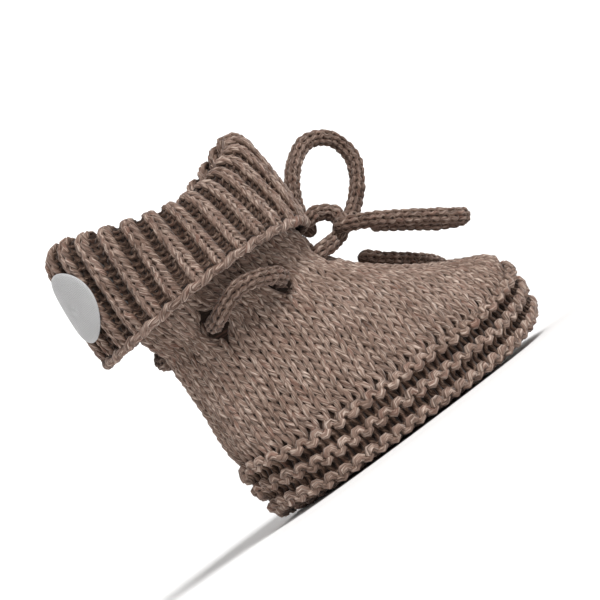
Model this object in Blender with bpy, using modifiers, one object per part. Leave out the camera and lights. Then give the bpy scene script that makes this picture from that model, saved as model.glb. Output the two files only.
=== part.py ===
"""Knitted baby bootie: sole, hollow upper, turned down rib cuff, label and a knitted cord tied in a bow.

Run with: blender --background --python part.py
The toe points along +X, the wearer's left is +Y, up is +Z, and the floor is z = 0. Tables are in millimetres.
"""
import math
from collections import namedtuple

import bmesh
import bpy
from mathutils import Vector

MM = 0.001

# driving sizes, in millimetres
SOLE_LENGTH = 87.0
SOLE_WIDTH = 49.0
SOLE_THICK = 4.0
SOLE_SQUARE = 0.90
SOLE_EDGE = 1.2
BALL_SPREAD = 0.06
SPRING_START = 14.0
SPRING_RUN = 30.0
SPRING_RISE = 5.0
HEEL_ROUND_START = -36.0
HEEL_ROUND_RUN = 8.0
HEEL_ROUND_RISE = 1.2
WALL = 3.0
GAP = 0.3
HEM_HEIGHT = 1.0
BAND_HEIGHT = 16.5
BAND_RIDGES = 3
BAND_RIDGE_HEIGHT = 0.9
COLLAR_HEIGHT = 89.2
COLLAR_SADDLE = 9.0
CUFF_HEIGHT = 28.2
CUFF_THICK = 2.6
CUFF_STAND = 4.8
CUFF_FLARE = 11.5
CUFF_RIBS = 28
CUFF_RIB_HEIGHT = 0.8
CORD_D = 4.8
EYELET_D = 5.6
EYELET_HEIGHT = 52.5
EYELET_ANGLES = (28.0, 83.0, 140.0)
EYELET_MARGIN = 4.0
LABEL_D = 20.0
LABEL_THICK = 0.7
LABEL_DROP = 12.2
UPPER_STEPS = 64
CUFF_STEPS = CUFF_RIBS * 4

# where the upper's outer face runs at the sole's seam: round the sole's edge, clear of it by the gap
SEAT = WALL + GAP

# sections of the upper's outer face: z is a share of the collar's height, back, front and half_width are
# shares of the sole's half length and half width, and SEAT is added to each
Section = namedtuple("Section", "z back front half_width square ball lift saddle")
UPPER_TABLE = (
    Section(0.011, 1.003, 1.003, 1.003, 0.91, 0.060, 1.00, 0.00),
    Section(0.056, 1.025, 1.030, 1.008, 0.92, 0.060, 1.00, 0.00),
    Section(0.122, 1.046, 1.051, 1.008, 0.93, 0.050, 1.00, 0.00),
    Section(0.189, 1.051, 1.032, 0.984, 0.94, 0.045, 1.00, 0.00),
    Section(0.233, 1.055, 0.982, 0.959, 0.95, 0.040, 0.90, 0.00),
    Section(0.300, 1.051, 0.809, 0.910, 0.96, 0.030, 0.70, 0.00),
    Section(0.378, 1.041, 0.533, 0.869, 0.98, 0.020, 0.45, 0.00),
    Section(0.456, 1.037, 0.280, 0.829, 1.00, 0.010, 0.25, 0.00),
    Section(0.522, 1.037, 0.108, 0.796, 1.00, 0.000, 0.10, 0.00),
    Section(0.589, 1.051, 0.016, 0.763, 1.00, 0.000, 0.00, 0.00),
    Section(0.689, 1.108, -0.034, 0.731, 1.00, 0.000, 0.00, 0.15),
    Section(0.822, 1.166, -0.048, 0.690, 1.00, 0.000, 0.00, 0.55),
    Section(1.000, 1.223, -0.034, 0.608, 1.00, 0.000, 0.00, 1.00),
)
# levels of the loft over the band, as shares of the way from the band to the collar
LEG_LEVELS = (0.035, 0.09, 0.15, 0.215, 0.275, 0.337, 0.4, 0.46, 0.53, 0.61, 0.72, 0.86, 1.0)

# sections of the cuff's middle face, from its inner lip over the fold to the free edge: lap is a share of
# the wall, drop a share of the cuff's height, stand of its stand off the back and front, flare of that at
# the sides
CuffSection = namedtuple("CuffSection", "drop lap back front flare rib saddle")
CUFF_TABLE = (
    CuffSection(0.00, -0.43, 0.00, 0.00, 0.00, 0.0, 1.00),
    CuffSection(0.00, 0.18, 0.00, 0.00, 0.00, 0.3, 1.00),
    CuffSection(0.00, 0.72, 0.00, 0.00, 0.03, 0.7, 1.00),
    CuffSection(0.05, 0.72, 0.23, 0.18, 0.19, 1.0, 0.97),
    CuffSection(0.25, 0.72, 0.38, 0.22, 0.38, 1.0, 0.82),
    CuffSection(0.50, 0.72, 0.48, 0.18, 0.55, 1.0, 0.50),
    CuffSection(0.77, 0.72, 0.55, 0.07, 0.71, 1.0, 0.05),
    CuffSection(1.00, 0.72, 0.51, -0.04, 0.81, 0.6, -0.28),
)
CUFF_RISE = (0.3, 1.5, 0.7, 0.0, 0.0, 0.0, 0.0, 0.0)

# routes of the cord, a row for each point it passes through
Route = namedtuple("Route", "x y z")
BOW_LOOP_RIGHT = (
    Route(11.6, -5.9, 55.9), Route(18.5, -9.6, 52.6), Route(27.5, -13.0, 46.8), Route(35.2, -15.8, 41.4),
    Route(40.6, -15.0, 38.6), Route(42.2, -11.4, 38.4), Route(39.4, -8.4, 40.2), Route(31.4, -6.6, 45.4),
    Route(22.2, -4.4, 51.4),
)
BOW_LOOP_LEFT = (
    Route(10.8, 5.3, 58.4), Route(13.0, 7.2, 67.0), Route(18.8, 6.8, 76.0), Route(27.0, 6.2, 80.4),
    Route(34.4, 6.0, 77.6), Route(36.6, 6.0, 70.0), Route(32.6, 6.2, 62.6), Route(25.4, 5.8, 57.2),
    Route(18.0, 5.8, 54.8),
)
BOW_KNOT = (
    Route(10.4, -1.6, 52.6), Route(15.9, -1.6, 55.0), Route(17.4, 0.0, 59.4), Route(13.0, 0.9, 62.4),
    Route(8.8, 0.6, 61.4),
)
TIE_END_RIGHT = (
    Route(16.4, 0.6, 45.8), Route(21.0, 0.6, 42.0), Route(26.6, 1.2, 38.6), Route(32.2, 3.0, 35.6),
    Route(37.6, 6.0, 33.0), Route(42.2, 9.8, 29.6),
)

# the left end hangs down the side of the foot: plan angle from the front, height and stand off the wall
Hang = namedtuple("Hang", "angle z stand")
TIE_END_LEFT = (
    Hang(36.0, 56.5, 2.4), Hang(41.0, 52.0, 1.6), Hang(45.0, 46.0, 0.9), Hang(47.0, 39.0, 0.7),
    Hang(48.0, 31.0, 0.6), Hang(48.0, 23.5, 0.6),
)


# the section table's heights are shares of the collar's height and a little more
TABLE_HEIGHT = COLLAR_HEIGHT + 0.8


def smooth_table(rows, column, z):
    """Value of a named column at height z, by a smooth cubic through the table's rows."""
    zs = [row.z for row in rows]
    vs = [getattr(row, column) for row in rows]
    if z <= zs[0]:
        return vs[0]
    if z >= zs[-1]:
        return vs[-1]
    i = max(k for k in range(len(zs) - 1) if zs[k] <= z)

    def slope(k):
        if k == 0 or k == len(zs) - 1:
            j = min(k, len(zs) - 2)
            return (vs[j + 1] - vs[j]) / (zs[j + 1] - zs[j])
        left = (vs[k] - vs[k - 1]) / (zs[k] - zs[k - 1])
        right = (vs[k + 1] - vs[k]) / (zs[k + 1] - zs[k])
        if left * right <= 0.0:
            return 0.0
        return 2.0 * left * right / (left + right)

    span = zs[i + 1] - zs[i]
    t = (z - zs[i]) / span
    m0 = slope(i) * span
    m1 = slope(i + 1) * span
    h00 = 2 * t ** 3 - 3 * t ** 2 + 1
    h10 = t ** 3 - 2 * t ** 2 + t
    h01 = -2 * t ** 3 + 3 * t ** 2
    h11 = t ** 3 - t ** 2
    return h00 * vs[i] + h10 * m0 + h01 * vs[i + 1] + h11 * m1


def signed_power(value, power):
    return math.copysign(abs(value) ** power, value)


def oval(back, front, half_width, square, ball, steps):
    """An oval in plan, its points evenly spaced along it, starting at the toe and going to the left."""
    fine = 720
    pts = []
    for i in range(fine + 1):
        a = 2.0 * math.pi * i / fine
        c = math.cos(a)
        s = math.sin(a)
        x = 0.5 * (back + front) + 0.5 * (front - back) * signed_power(c, square)
        y = half_width * signed_power(s, square) * (1.0 + ball * c)
        pts.append((x, y))
    lengths = [0.0]
    for p, q in zip(pts, pts[1:]):
        lengths.append(lengths[-1] + math.dist(p, q))
    out = []
    j = 0
    for k in range(steps):
        want = lengths[-1] * k / steps
        while lengths[j + 1] < want:
            j += 1
        f = (want - lengths[j]) / (lengths[j + 1] - lengths[j])
        out.append((pts[j][0] + f * (pts[j + 1][0] - pts[j][0]), pts[j][1] + f * (pts[j + 1][1] - pts[j][1])))
    return out


def spring(x):
    """Rise of the sole at x: the toe spring at the front and the rounding under the heel."""
    toe = max(0.0, (x - SPRING_START) / SPRING_RUN)
    heel = max(0.0, (HEEL_ROUND_START - x) / HEEL_ROUND_RUN)
    return SPRING_RISE * toe ** 2 + HEEL_ROUND_RISE * heel ** 2


def ridge(z):
    """Outward swell of the ridged band at height z: rounded ridges with furrows between them."""
    if z > BAND_HEIGHT:
        return 0.0
    return BAND_RIDGE_HEIGHT * 0.5 * (1.0 - math.cos(2.0 * math.pi * BAND_RIDGES * z / BAND_HEIGHT))


def upper_section(z):
    """The upper's outer face at height z, in millimetres: its back, front, half width and shares."""
    get = {name: smooth_table(UPPER_TABLE, name, z / TABLE_HEIGHT) for name in Section._fields[1:]}
    get["back"] = -0.5 * SOLE_LENGTH * get["back"] - SEAT
    get["front"] = 0.5 * SOLE_LENGTH * get["front"] + SEAT
    get["half_width"] = 0.5 * SOLE_WIDTH * get["half_width"] + SEAT
    return get


def upper_ring(z, steps):
    """Ring of the upper's outer face at height z."""
    get = upper_section(z)
    out = ridge(z)
    wide = get["half_width"] + out
    dip = COLLAR_SADDLE * get["saddle"]
    ring = oval(get["back"] - out, get["front"] + out, wide, get["square"], get["ball"], steps)
    return [Vector((x, y, z + spring(x) * get["lift"] - dip * (y / wide) ** 2)) for x, y in ring]


def new_material(name, colour, roughness, metallic=0.0):
    material = bpy.data.materials.new(name)
    material.use_nodes = True
    shader = material.node_tree.nodes["Principled BSDF"]
    shader.inputs["Base Color"].default_value = (*colour, 1.0)
    shader.inputs["Roughness"].default_value = roughness
    shader.inputs["Metallic"].default_value = metallic
    material.diffuse_color = (*colour, 1.0)
    return material


def collection_named(name):
    collection = bpy.data.collections.new(name)
    bpy.context.scene.collection.children.link(collection)
    return collection


def mesh_object(name, rings, material, collection, cap_start=False, cap_end=False):
    """Skin closed rings of points into one surface, with a fan over the first or last ring where asked."""
    bm = bmesh.new()
    layers = [[bm.verts.new(p * MM) for p in ring] for ring in rings]
    for low, high in zip(layers, layers[1:]):
        n = len(low)
        for i in range(n):
            j = (i + 1) % n
            bm.faces.new((low[i], low[j], high[j], high[i]))
    for layer, wanted in ((layers[0], cap_start), (layers[-1], cap_end)):
        if wanted:
            centre = sum((v.co for v in layer), Vector()) / len(layer)
            hub = bm.verts.new(centre)
            for i in range(len(layer)):
                bm.faces.new((layer[i], layer[(i + 1) % len(layer)], hub))
    bmesh.ops.recalc_face_normals(bm, faces=bm.faces)
    mesh = bpy.data.meshes.new(name)
    bm.to_mesh(mesh)
    bm.free()
    mesh.materials.append(material)
    obj = bpy.data.objects.new(name, mesh)
    collection.objects.link(obj)
    return obj


def add_wall(obj, thickness, offset):
    """Give an open sheet its real wall."""
    wall = obj.modifiers.new("wall", "SOLIDIFY")
    wall.thickness = thickness * MM
    wall.offset = offset
    wall.use_even_offset = True
    wall.use_rim = True
    wall.use_quality_normals = True
    return wall


def build_sole(material, collection):
    """The seed stitch panel: rings from the middle of the underside out, up the side and in over the top."""
    side = SOLE_THICK
    edge = SOLE_EDGE
    plan = (
        (0.25, 0.0), (0.5, 0.0), (0.75, 0.0), (0.93, 0.0), (0.985, 0.3 * edge), (1.0, edge), (1.0, side - edge),
        (0.985, side - 0.3 * edge), (0.93, side), (0.6, side), (0.3, side),
    )
    rings = []
    for scale, z in plan:
        half = 0.5 * SOLE_LENGTH * scale
        ring = oval(-half, half, 0.5 * SOLE_WIDTH * scale, SOLE_SQUARE, BALL_SPREAD, UPPER_STEPS)
        rings.append([Vector((x, y, z + spring(x))) for x, y in ring])
    return mesh_object("sole", rings, material, collection, cap_start=True, cap_end=True)


def leg_angle_point(angle, height, outward):
    """Point on the upper's outer face at a plan angle from the front, moved outward along the face."""
    ring = upper_ring(height, 360)
    get = upper_section(height)
    centre = Vector((0.5 * (get["back"] + get["front"]), 0.0, height))
    want = Vector((math.cos(math.radians(angle)), math.sin(math.radians(angle)), 0.0))

    def off(k):
        way = ring[k] - centre
        way.z = 0.0
        return -way.normalized().dot(want)

    k = min(range(len(ring)), key=off)
    along = (ring[(k + 1) % 360] - ring[k - 1]).normalized()
    normal = Vector((along.y, -along.x, 0.0))
    return ring[k] + normal * outward, normal


def build_upper(material, collection, cutters):
    """One hollow solid: the loft of its sections, given its wall, with the eyelets cut through."""
    band = [HEM_HEIGHT] + [BAND_HEIGHT * k / (2 * BAND_RIDGES) for k in range(1, 2 * BAND_RIDGES + 1)]
    leg = [BAND_HEIGHT + share * (COLLAR_HEIGHT - BAND_HEIGHT) for share in LEG_LEVELS]
    rings = [upper_ring(z, UPPER_STEPS) for z in band + leg]
    obj = mesh_object("upper", rings, material, collection)
    add_wall(obj, WALL, -1.0)
    for side in (-1, 1):
        for angle in EYELET_ANGLES:
            point, normal = leg_angle_point(side * angle, EYELET_HEIGHT, 0.0)
            bpy.ops.mesh.primitive_cylinder_add(vertices=12, radius=0.5 * EYELET_D * MM, depth=14.0 * MM)
            tool = bpy.context.active_object
            tool.name = "eyelet_%s_%d" % ("left" if side > 0 else "right", angle)
            tool.location = point * MM
            tool.rotation_euler = normal.to_track_quat("Z", "Y").to_euler()
            tool.display_type = "WIRE"
            tool.hide_render = True
            for owner in list(tool.users_collection):
                owner.objects.unlink(tool)
            cutters.objects.link(tool)
            cut = obj.modifiers.new(tool.name, "BOOLEAN")
            cut.operation = "DIFFERENCE"
            cut.solver = "EXACT"
            cut.object = tool
    return obj


def cuff_section(row, rise=0.0):
    """A row of the cuff's table in millimetres, worked out from the collar that it laps over."""
    collar = upper_section(COLLAR_HEIGHT)
    lap = row.lap * WALL
    back = collar["back"] - lap - row.back * CUFF_STAND
    front = collar["front"] + lap + row.front * CUFF_STAND
    wide = collar["half_width"] + lap + row.flare * CUFF_FLARE
    over = GAP + 0.5 * CUFF_THICK
    return CuffRow(COLLAR_HEIGHT + over + rise * (CUFF_THICK / 2.6) - row.drop * (CUFF_HEIGHT + over),
                   back, front, wide, row.rib, row.saddle)


CuffRow = namedtuple("CuffRow", "z back front half_width rib saddle")


def cuff_ring(row, steps):
    """Ring of the cuff's middle face: ribs swell outward and the sides dip in a saddle."""
    ring = oval(row.back, row.front, row.half_width, 1.0, 0.0, steps)
    out = []
    for k, (x, y) in enumerate(ring):
        ahead = ring[(k + 1) % steps]
        behind = ring[k - 1]
        normal = Vector((ahead[1] - behind[1], behind[0] - ahead[0], 0.0)).normalized()
        swell = CUFF_RIB_HEIGHT * 0.5 * math.cos(2.0 * math.pi * CUFF_RIBS * k / steps) * row.rib
        dip = COLLAR_SADDLE * row.saddle * (y / row.half_width) ** 2
        out.append(Vector((x, y, row.z - dip)) + normal * swell)
    return out


def cuff_rows():
    return [cuff_section(row, rise) for row, rise in zip(CUFF_TABLE, CUFF_RISE)]


def build_cuff(material, collection):
    """The turned down rib: it laps over the collar, folds and flares out round the leg."""
    rings = [cuff_ring(row, CUFF_STEPS) for row in cuff_rows()]
    obj = mesh_object("cuff", rings, material, collection)
    add_wall(obj, CUFF_THICK, 0.0)
    return obj


def build_label(material, collection):
    """A thin round disc that follows the back of the cuff, just clear of its ribs."""
    rows = 3
    outward = 0.5 * CUFF_THICK + 0.5 * CUFF_RIB_HEIGHT + 1.4 * GAP + 0.5 * LABEL_THICK
    height = COLLAR_HEIGHT - LABEL_DROP
    outer = sorted(cuff_rows()[3:], key=lambda row: row.z)
    rings = []
    for r in range(1, rows + 1):
        radius = 0.5 * LABEL_D * r / rows
        ring = []
        for k in range(32):
            a = 2.0 * math.pi * k / 32
            across = radius * math.cos(a)
            z = height + radius * math.sin(a)
            get = {name: smooth_table(outer, name, z) for name in ("back", "front", "half_width")}
            reach = 0.5 * (get["front"] - get["back"])
            bend = reach * (1.0 - math.sqrt(1.0 - (across / (get["half_width"] + outward)) ** 2))
            ring.append(Vector((get["back"] - outward + bend, across, z)))
        rings.append(ring)
    obj = mesh_object("label", rings, material, collection, cap_start=True)
    add_wall(obj, LABEL_THICK, 0.0)
    return obj


def smooth_route(points, step):
    """Points every step along a smooth curve through the route."""
    pts = [Vector(p) for p in points]
    ends = [pts[0] * 2 - pts[1]] + pts + [pts[-1] * 2 - pts[-2]]
    fine = []
    for i in range(1, len(ends) - 2):
        p0, p1, p2, p3 = ends[i - 1:i + 3]
        for k in range(24):
            t = k / 24
            fine.append(0.5 * ((2 * p1) + (p2 - p0) * t + (2 * p0 - 5 * p1 + 4 * p2 - p3) * t * t
                               + (3 * p1 - p0 - 3 * p2 + p3) * t ** 3))
    fine.append(pts[-1])
    total = sum((b - a).length for a, b in zip(fine, fine[1:]))
    count = max(3, round(total / step))
    out = [fine[0]]
    walked = 0.0
    want = total / count
    for a, b in zip(fine, fine[1:]):
        length = (b - a).length
        while length > 0.0 and walked + length >= want * len(out) - 1e-9 and len(out) < count:
            out.append(a + (b - a) * ((want * len(out) - walked) / length))
        walked += length
    out.append(fine[-1])
    return out


def cord_object(name, points, diameter, material, collection, step=4.5):
    """A round cord along a smooth route, as a bevelled curve."""
    curve = bpy.data.curves.new(name, "CURVE")
    curve.dimensions = "3D"
    curve.bevel_depth = 0.5 * diameter * MM
    curve.bevel_resolution = 2
    curve.use_fill_caps = True
    route = smooth_route(points, step)
    spline = curve.splines.new("POLY")
    spline.points.add(len(route) - 1)
    for point, co in zip(spline.points, route):
        point.co = (*(co * MM), 1.0)
    curve.materials.append(material)
    obj = bpy.data.objects.new(name, curve)
    collection.objects.link(obj)
    return obj


def tie_side_route(side):
    """The slack run outside the ankle between two eyelets: it stands off the wall and rises in the middle."""
    first = EYELET_ANGLES[1] + EYELET_MARGIN
    last = EYELET_ANGLES[2] - EYELET_MARGIN
    clear = 0.5 * CORD_D + GAP
    route = []
    for f, stand, rise in ((0.0, 0.0, 0.0), (0.16, 2.2, 1.6), (0.36, 4.2, 3.4), (0.6, 4.4, 3.8), (0.84, 2.4, 1.8),
                           (1.0, 0.0, 0.0)):
        height = EYELET_HEIGHT + rise
        point, normal = leg_angle_point(side * (first + f * (last - first)), height, clear + stand)
        route.append(point)
    return route


def tie_end_left_route():
    """The end that hangs down the left side of the foot, close to the wall."""
    clear = 0.5 * CORD_D + GAP
    return [leg_angle_point(row.angle, row.z, clear + row.stand)[0] for row in TIE_END_LEFT]


def tie_front_route():
    """The short run across the front of the ankle, under the knot."""
    clear = 0.5 * CORD_D + GAP
    reach = EYELET_ANGLES[0]
    route = []
    for f, stand, rise in ((-1.0, 0.4, 0.0), (-0.5, 0.6, 0.4), (0.0, 0.7, 0.6), (0.5, 0.6, 0.4), (1.0, 0.4, 0.0)):
        point, normal = leg_angle_point(f * reach, EYELET_HEIGHT + rise, clear + stand)
        route.append(point)
    return route


def main():
    for old in list(bpy.data.objects):
        bpy.data.objects.remove(old, do_unlink=True)
    parts = collection_named("knitted_baby_bootie")
    cutters = collection_named("cutters")

    wool = new_material("wool_upper", (0.190, 0.132, 0.104), 0.95)
    wool_sole = new_material("wool_sole", (0.192, 0.130, 0.102), 0.95)
    wool_cuff = new_material("wool_cuff", (0.184, 0.125, 0.100), 0.95)
    wool_cord = new_material("wool_cord", (0.176, 0.120, 0.094), 0.93)
    satin = new_material("label_satin", (0.50, 0.49, 0.48), 0.55)

    root = bpy.data.objects.new("bootie", None)
    parts.objects.link(root)

    made = [
        build_sole(wool_sole, parts),
        build_upper(wool, parts, cutters),
        build_cuff(wool_cuff, parts),
        build_label(satin, parts),
        cord_object("tie_front", tie_front_route(), CORD_D, wool_cord, parts, 4.0),
        cord_object("tie_side_right", tie_side_route(-1), CORD_D, wool_cord, parts, 4.5),
        cord_object("tie_side_left", tie_side_route(1), CORD_D, wool_cord, parts, 4.5),
        cord_object("bow_knot", BOW_KNOT, CORD_D, wool_cord, parts, 3.5),
        cord_object("bow_loop_right", BOW_LOOP_RIGHT, CORD_D, wool_cord, parts),
        cord_object("bow_loop_left", BOW_LOOP_LEFT, CORD_D, wool_cord, parts),
        cord_object("tie_end_right", TIE_END_RIGHT, CORD_D, wool_cord, parts, 8.0),
        cord_object("tie_end_left", tie_end_left_route(), CORD_D, wool_cord, parts, 8.0),
    ]
    # the record's origin: under the middle of the bootie, without the free cord of the bow
    bpy.context.view_layer.update()
    graph = bpy.context.evaluated_depsgraph_get()
    xs = [v.co.x for obj in made[:4] for v in obj.evaluated_get(graph).to_mesh().vertices]
    for obj in made:
        obj.parent = root
    root.location.x = -0.5 * (min(xs) + max(xs))


main()
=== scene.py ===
"""Knitted baby bootie, dressed in worked out yarn.

Each fabric is a chart of knit and purl stitches. Each course of the chart is one yarn: its loops are a
function of the stitch's phase, laid on a smooth sheet (rings of points round the foot, leg and cuff) and
swept with a round section. Under the yarn lies a thin felt with the wool's texture, painted near black as
shade, so nothing shows through. The wool is painted brighter at the top of the yarn and darker the deeper a
point lies: painted light and shade.
Lengths are in millimetres until a mesh is written.
"""

import bpy
import numpy as np
from mathutils import Euler, Matrix


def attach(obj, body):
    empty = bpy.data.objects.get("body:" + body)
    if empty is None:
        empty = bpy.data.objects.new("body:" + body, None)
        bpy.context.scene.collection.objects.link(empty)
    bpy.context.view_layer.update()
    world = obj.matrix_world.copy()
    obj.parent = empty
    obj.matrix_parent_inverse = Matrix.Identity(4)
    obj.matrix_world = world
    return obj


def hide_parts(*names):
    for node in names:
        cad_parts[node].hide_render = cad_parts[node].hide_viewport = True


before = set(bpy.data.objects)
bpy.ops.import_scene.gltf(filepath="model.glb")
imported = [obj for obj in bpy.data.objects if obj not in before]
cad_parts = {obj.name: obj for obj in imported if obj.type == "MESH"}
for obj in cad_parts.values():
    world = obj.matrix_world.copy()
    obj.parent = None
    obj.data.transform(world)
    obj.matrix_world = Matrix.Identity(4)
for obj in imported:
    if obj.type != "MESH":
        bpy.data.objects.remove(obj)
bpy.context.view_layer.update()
MM = 0.001
ORIGIN_X = 7.143
RNG = np.random.default_rng(20)

# sizes of the bootie, as in its solids
SOLE_LENGTH = 87.0
SOLE_WIDTH = 49.0
SOLE_SQUARE = 0.90
BALL_SPREAD = 0.06
SPRING_START = 14.0
SPRING_RUN = 30.0
SPRING_RISE = 5.0
HEEL_ROUND_START = -36.0
HEEL_ROUND_RUN = 8.0
HEEL_ROUND_RISE = 1.2
WALL = 3.0
GAP = 0.3
SEAT = WALL + GAP
BAND_HEIGHT = 16.5
BAND_RIDGES = 3
BAND_RIDGE_HEIGHT = 0.9
COLLAR_HEIGHT = 89.2
TABLE_HEIGHT = COLLAR_HEIGHT + 0.8
COLLAR_SADDLE = 9.0
CUFF_HEIGHT = 28.2
CUFF_THICK = 2.6
CUFF_STAND = 4.8
CUFF_FLARE = 11.5
CUFF_RIBS = 28
CORD_D = 4.8
EYELET_HEIGHT = 52.5
EYELET_ANGLES = (28.0, 83.0, 140.0)
EYELET_PARTS = (3.2, 4.2, 4.6)
EYELET_SUNK = -1.2
EYELET_MARGIN = 4.0
LABEL_D = 20.0
LABEL_DROP = 12.2
LABEL_STAND = 0.42
RING_STEPS = 480
# how far the cord's middle is from a wall that it lies on
CLEAR = 0.5 * CORD_D + GAP

# sections of the outer face: z, back, front, half width, squareness, ball, toe lift, saddle
SECTIONS = np.array((
    (0.011, 1.003, 1.003, 1.003, 0.91, 0.060, 1.00, 0.00),
    (0.056, 1.025, 1.030, 1.008, 0.92, 0.060, 1.00, 0.00),
    (0.122, 1.046, 1.051, 1.008, 0.93, 0.050, 1.00, 0.00),
    (0.189, 1.051, 1.032, 0.984, 0.94, 0.045, 1.00, 0.00),
    (0.233, 1.055, 0.982, 0.959, 0.95, 0.040, 0.90, 0.00),
    (0.300, 1.051, 0.809, 0.910, 0.96, 0.030, 0.70, 0.00),
    (0.378, 1.041, 0.533, 0.869, 0.98, 0.020, 0.45, 0.00),
    (0.456, 1.037, 0.280, 0.829, 1.00, 0.010, 0.25, 0.00),
    (0.522, 1.037, 0.108, 0.796, 1.00, 0.000, 0.10, 0.00),
    (0.589, 1.051, 0.016, 0.763, 1.00, 0.000, 0.00, 0.00),
    (0.689, 1.108, -0.034, 0.731, 1.00, 0.000, 0.00, 0.15),
    (0.822, 1.166, -0.048, 0.690, 1.00, 0.000, 0.00, 0.55),
    (1.000, 1.223, -0.034, 0.608, 1.00, 0.000, 0.00, 1.00),
))
# the cuff's middle face: drop, lap, back, front, flare, saddle, rise
CUFF_SECTIONS = np.array((
    (0.00, -0.43, 0.00, 0.00, 0.00, 1.00, 0.3),
    (0.00, 0.18, 0.00, 0.00, 0.00, 1.00, 1.5),
    (0.00, 0.72, 0.00, 0.00, 0.03, 1.00, 0.7),
    (0.05, 0.72, 0.23, 0.18, 0.19, 0.97, 0.0),
    (0.25, 0.72, 0.38, 0.22, 0.38, 0.82, 0.0),
    (0.50, 0.72, 0.48, 0.18, 0.55, 0.50, 0.0),
    (0.77, 0.72, 0.55, 0.07, 0.71, 0.05, 0.0),
    (1.00, 0.72, 0.51, -0.04, 0.81, -0.28, 0.0),
))


def smooth_columns(table, at):
    """All columns of a table at the wanted heights: a cubic whose slope at each row is the harmonic mean of
    the slopes on its two sides, so it never overshoots."""
    x = table[:, 0]
    y = table[:, 1:]
    step = np.diff(x)[:, None]
    secant = np.diff(y, axis=0) / step
    left, right = secant[:-1], secant[1:]
    same = left * right > 0
    mean = np.where(same, 2 * left * right / np.where(same, left + right, 1), 0)
    slope = np.vstack((secant[:1], mean, secant[-1:]))
    at = np.clip(at, x[0], x[-1])
    i = np.clip(np.searchsorted(x, at, side="right") - 1, 0, len(x) - 2)
    t = ((at - x[i]) / (x[i + 1] - x[i]))[:, None]
    h = step[i]
    return ((2 * t ** 3 - 3 * t ** 2 + 1) * y[i] + (t ** 3 - 2 * t ** 2 + t) * slope[i] * h
            + (-2 * t ** 3 + 3 * t ** 2) * y[i + 1] + (t ** 3 - t ** 2) * slope[i + 1] * h)


def unit(v):
    return v / np.maximum(np.linalg.norm(v, axis=-1, keepdims=True), 1e-12)


def run_along(line):
    """The distance along a line of points, at each of them."""
    return np.concatenate(([0], np.cumsum(np.linalg.norm(np.diff(line, axis=0), axis=1))))


def girth_of(rings):
    """The length of each closed ring."""
    return np.linalg.norm(np.roll(rings, -1, axis=1) - rings, axis=2).sum(axis=1)


def oval(back, front, half, square, ball, steps):
    """Points of one ring in plan: cosine and sine raised to a power, then spaced evenly along the ring."""
    a = np.linspace(0, 2 * np.pi, 1441)
    c, s = np.cos(a), np.sin(a)
    x = 0.5 * (back + front) + 0.5 * (front - back) * np.sign(c) * np.abs(c) ** square
    y = half * np.sign(s) * np.abs(s) ** square * (1 + ball * c)
    run = np.concatenate(([0], np.cumsum(np.hypot(np.diff(x), np.diff(y)))))
    want = run[-1] * np.arange(steps) / steps
    return np.interp(want, run, x), np.interp(want, run, y)


def spring(x):
    """Rise of the sole: the square of the way past the ball, and of the way past the heel's round."""
    toe = np.maximum(0, (x - SPRING_START) / SPRING_RUN)
    heel = np.maximum(0, (HEEL_ROUND_START - x) / HEEL_ROUND_RUN)
    return SPRING_RISE * toe ** 2 + HEEL_ROUND_RISE * heel ** 2


def ridge(z):
    """Swell of the band: one raised cosine for each ridge."""
    swell = 0.5 * BAND_RIDGE_HEIGHT * (1 - np.cos(2 * np.pi * BAND_RIDGES * z / BAND_HEIGHT))
    return np.where(z > BAND_HEIGHT, 0, swell)


def section_at(height):
    """The row of the upper's sections at one height."""
    return smooth_columns(SECTIONS, np.array([height / TABLE_HEIGHT]))[0]


def extent(row, out):
    """Back, front and half width of the upper's outer face at a row of its sections, moved out."""
    return (-0.5 * SOLE_LENGTH * row[0] - SEAT - out, 0.5 * SOLE_LENGTH * row[1] + SEAT + out,
            0.5 * SOLE_WIDTH * row[2] + SEAT + out)


def upper_rings(heights, insets, relief=1.0):
    """Rings of the upper's outer face at each height, each drawn in by its inset."""
    rings = []
    for z, inset, row in zip(heights, insets, smooth_columns(SECTIONS, heights / TABLE_HEIGHT)):
        back, front, half = extent(row, relief * ridge(z) - inset)
        x, y = oval(back, front, half, row[3], row[4], RING_STEPS)
        up = z + spring(x) * row[5] - COLLAR_SADDLE * row[6] * (y / half) ** 2
        rings.append(np.stack((x, y, up), axis=1))
    return np.array(rings)


class Cloth:
    """A smooth sheet held as closed rings of points, sampled between them.

    v counts rings and u is the share of the way round from the toe by the left. rise is the distance along
    the sheet at the side, girth the length of each ring."""

    def __init__(self, rings):
        self.points = rings
        across = np.roll(rings, -1, axis=1) - np.roll(rings, 1, axis=1)
        along = np.gradient(rings, axis=0)
        self.normals = unit(np.cross(across, along))
        self.girth = girth_of(rings)
        self.steps = rings.shape[1]

    def rise(self, u):
        return run_along(self.points[:, int(u * self.steps) % self.steps])

    def at(self, v, u):
        """Point and outward direction: a blend of the four grid points around (v, u)."""
        v = np.clip(v, 0, len(self.points) - 1.001)
        u = np.mod(u, 1.0) * self.steps
        v0 = v.astype(int)
        u0 = u.astype(int) % self.steps
        u1 = (u0 + 1) % self.steps
        fv = (v - v0)[..., None]
        fu = (u - np.floor(u))[..., None]
        out = []
        for grid in (self.points, self.normals):
            low = grid[v0, u0] * (1 - fu) + grid[v0, u1] * fu
            high = grid[v0 + 1, u0] * (1 - fu) + grid[v0 + 1, u1] * fu
            out.append(low * (1 - fv) + high * fv)
        return out[0], unit(out[1])


# meshes

LOOP_POINTS = 11
YARN_SIDES = 6
# how deep a yarn point lies sets the wool's painted shade: none at this level, the most this far below it
SHADE_FREE_LEVEL = 1.35
SHADE_DEPTH_RANGE = 2.7


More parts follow.
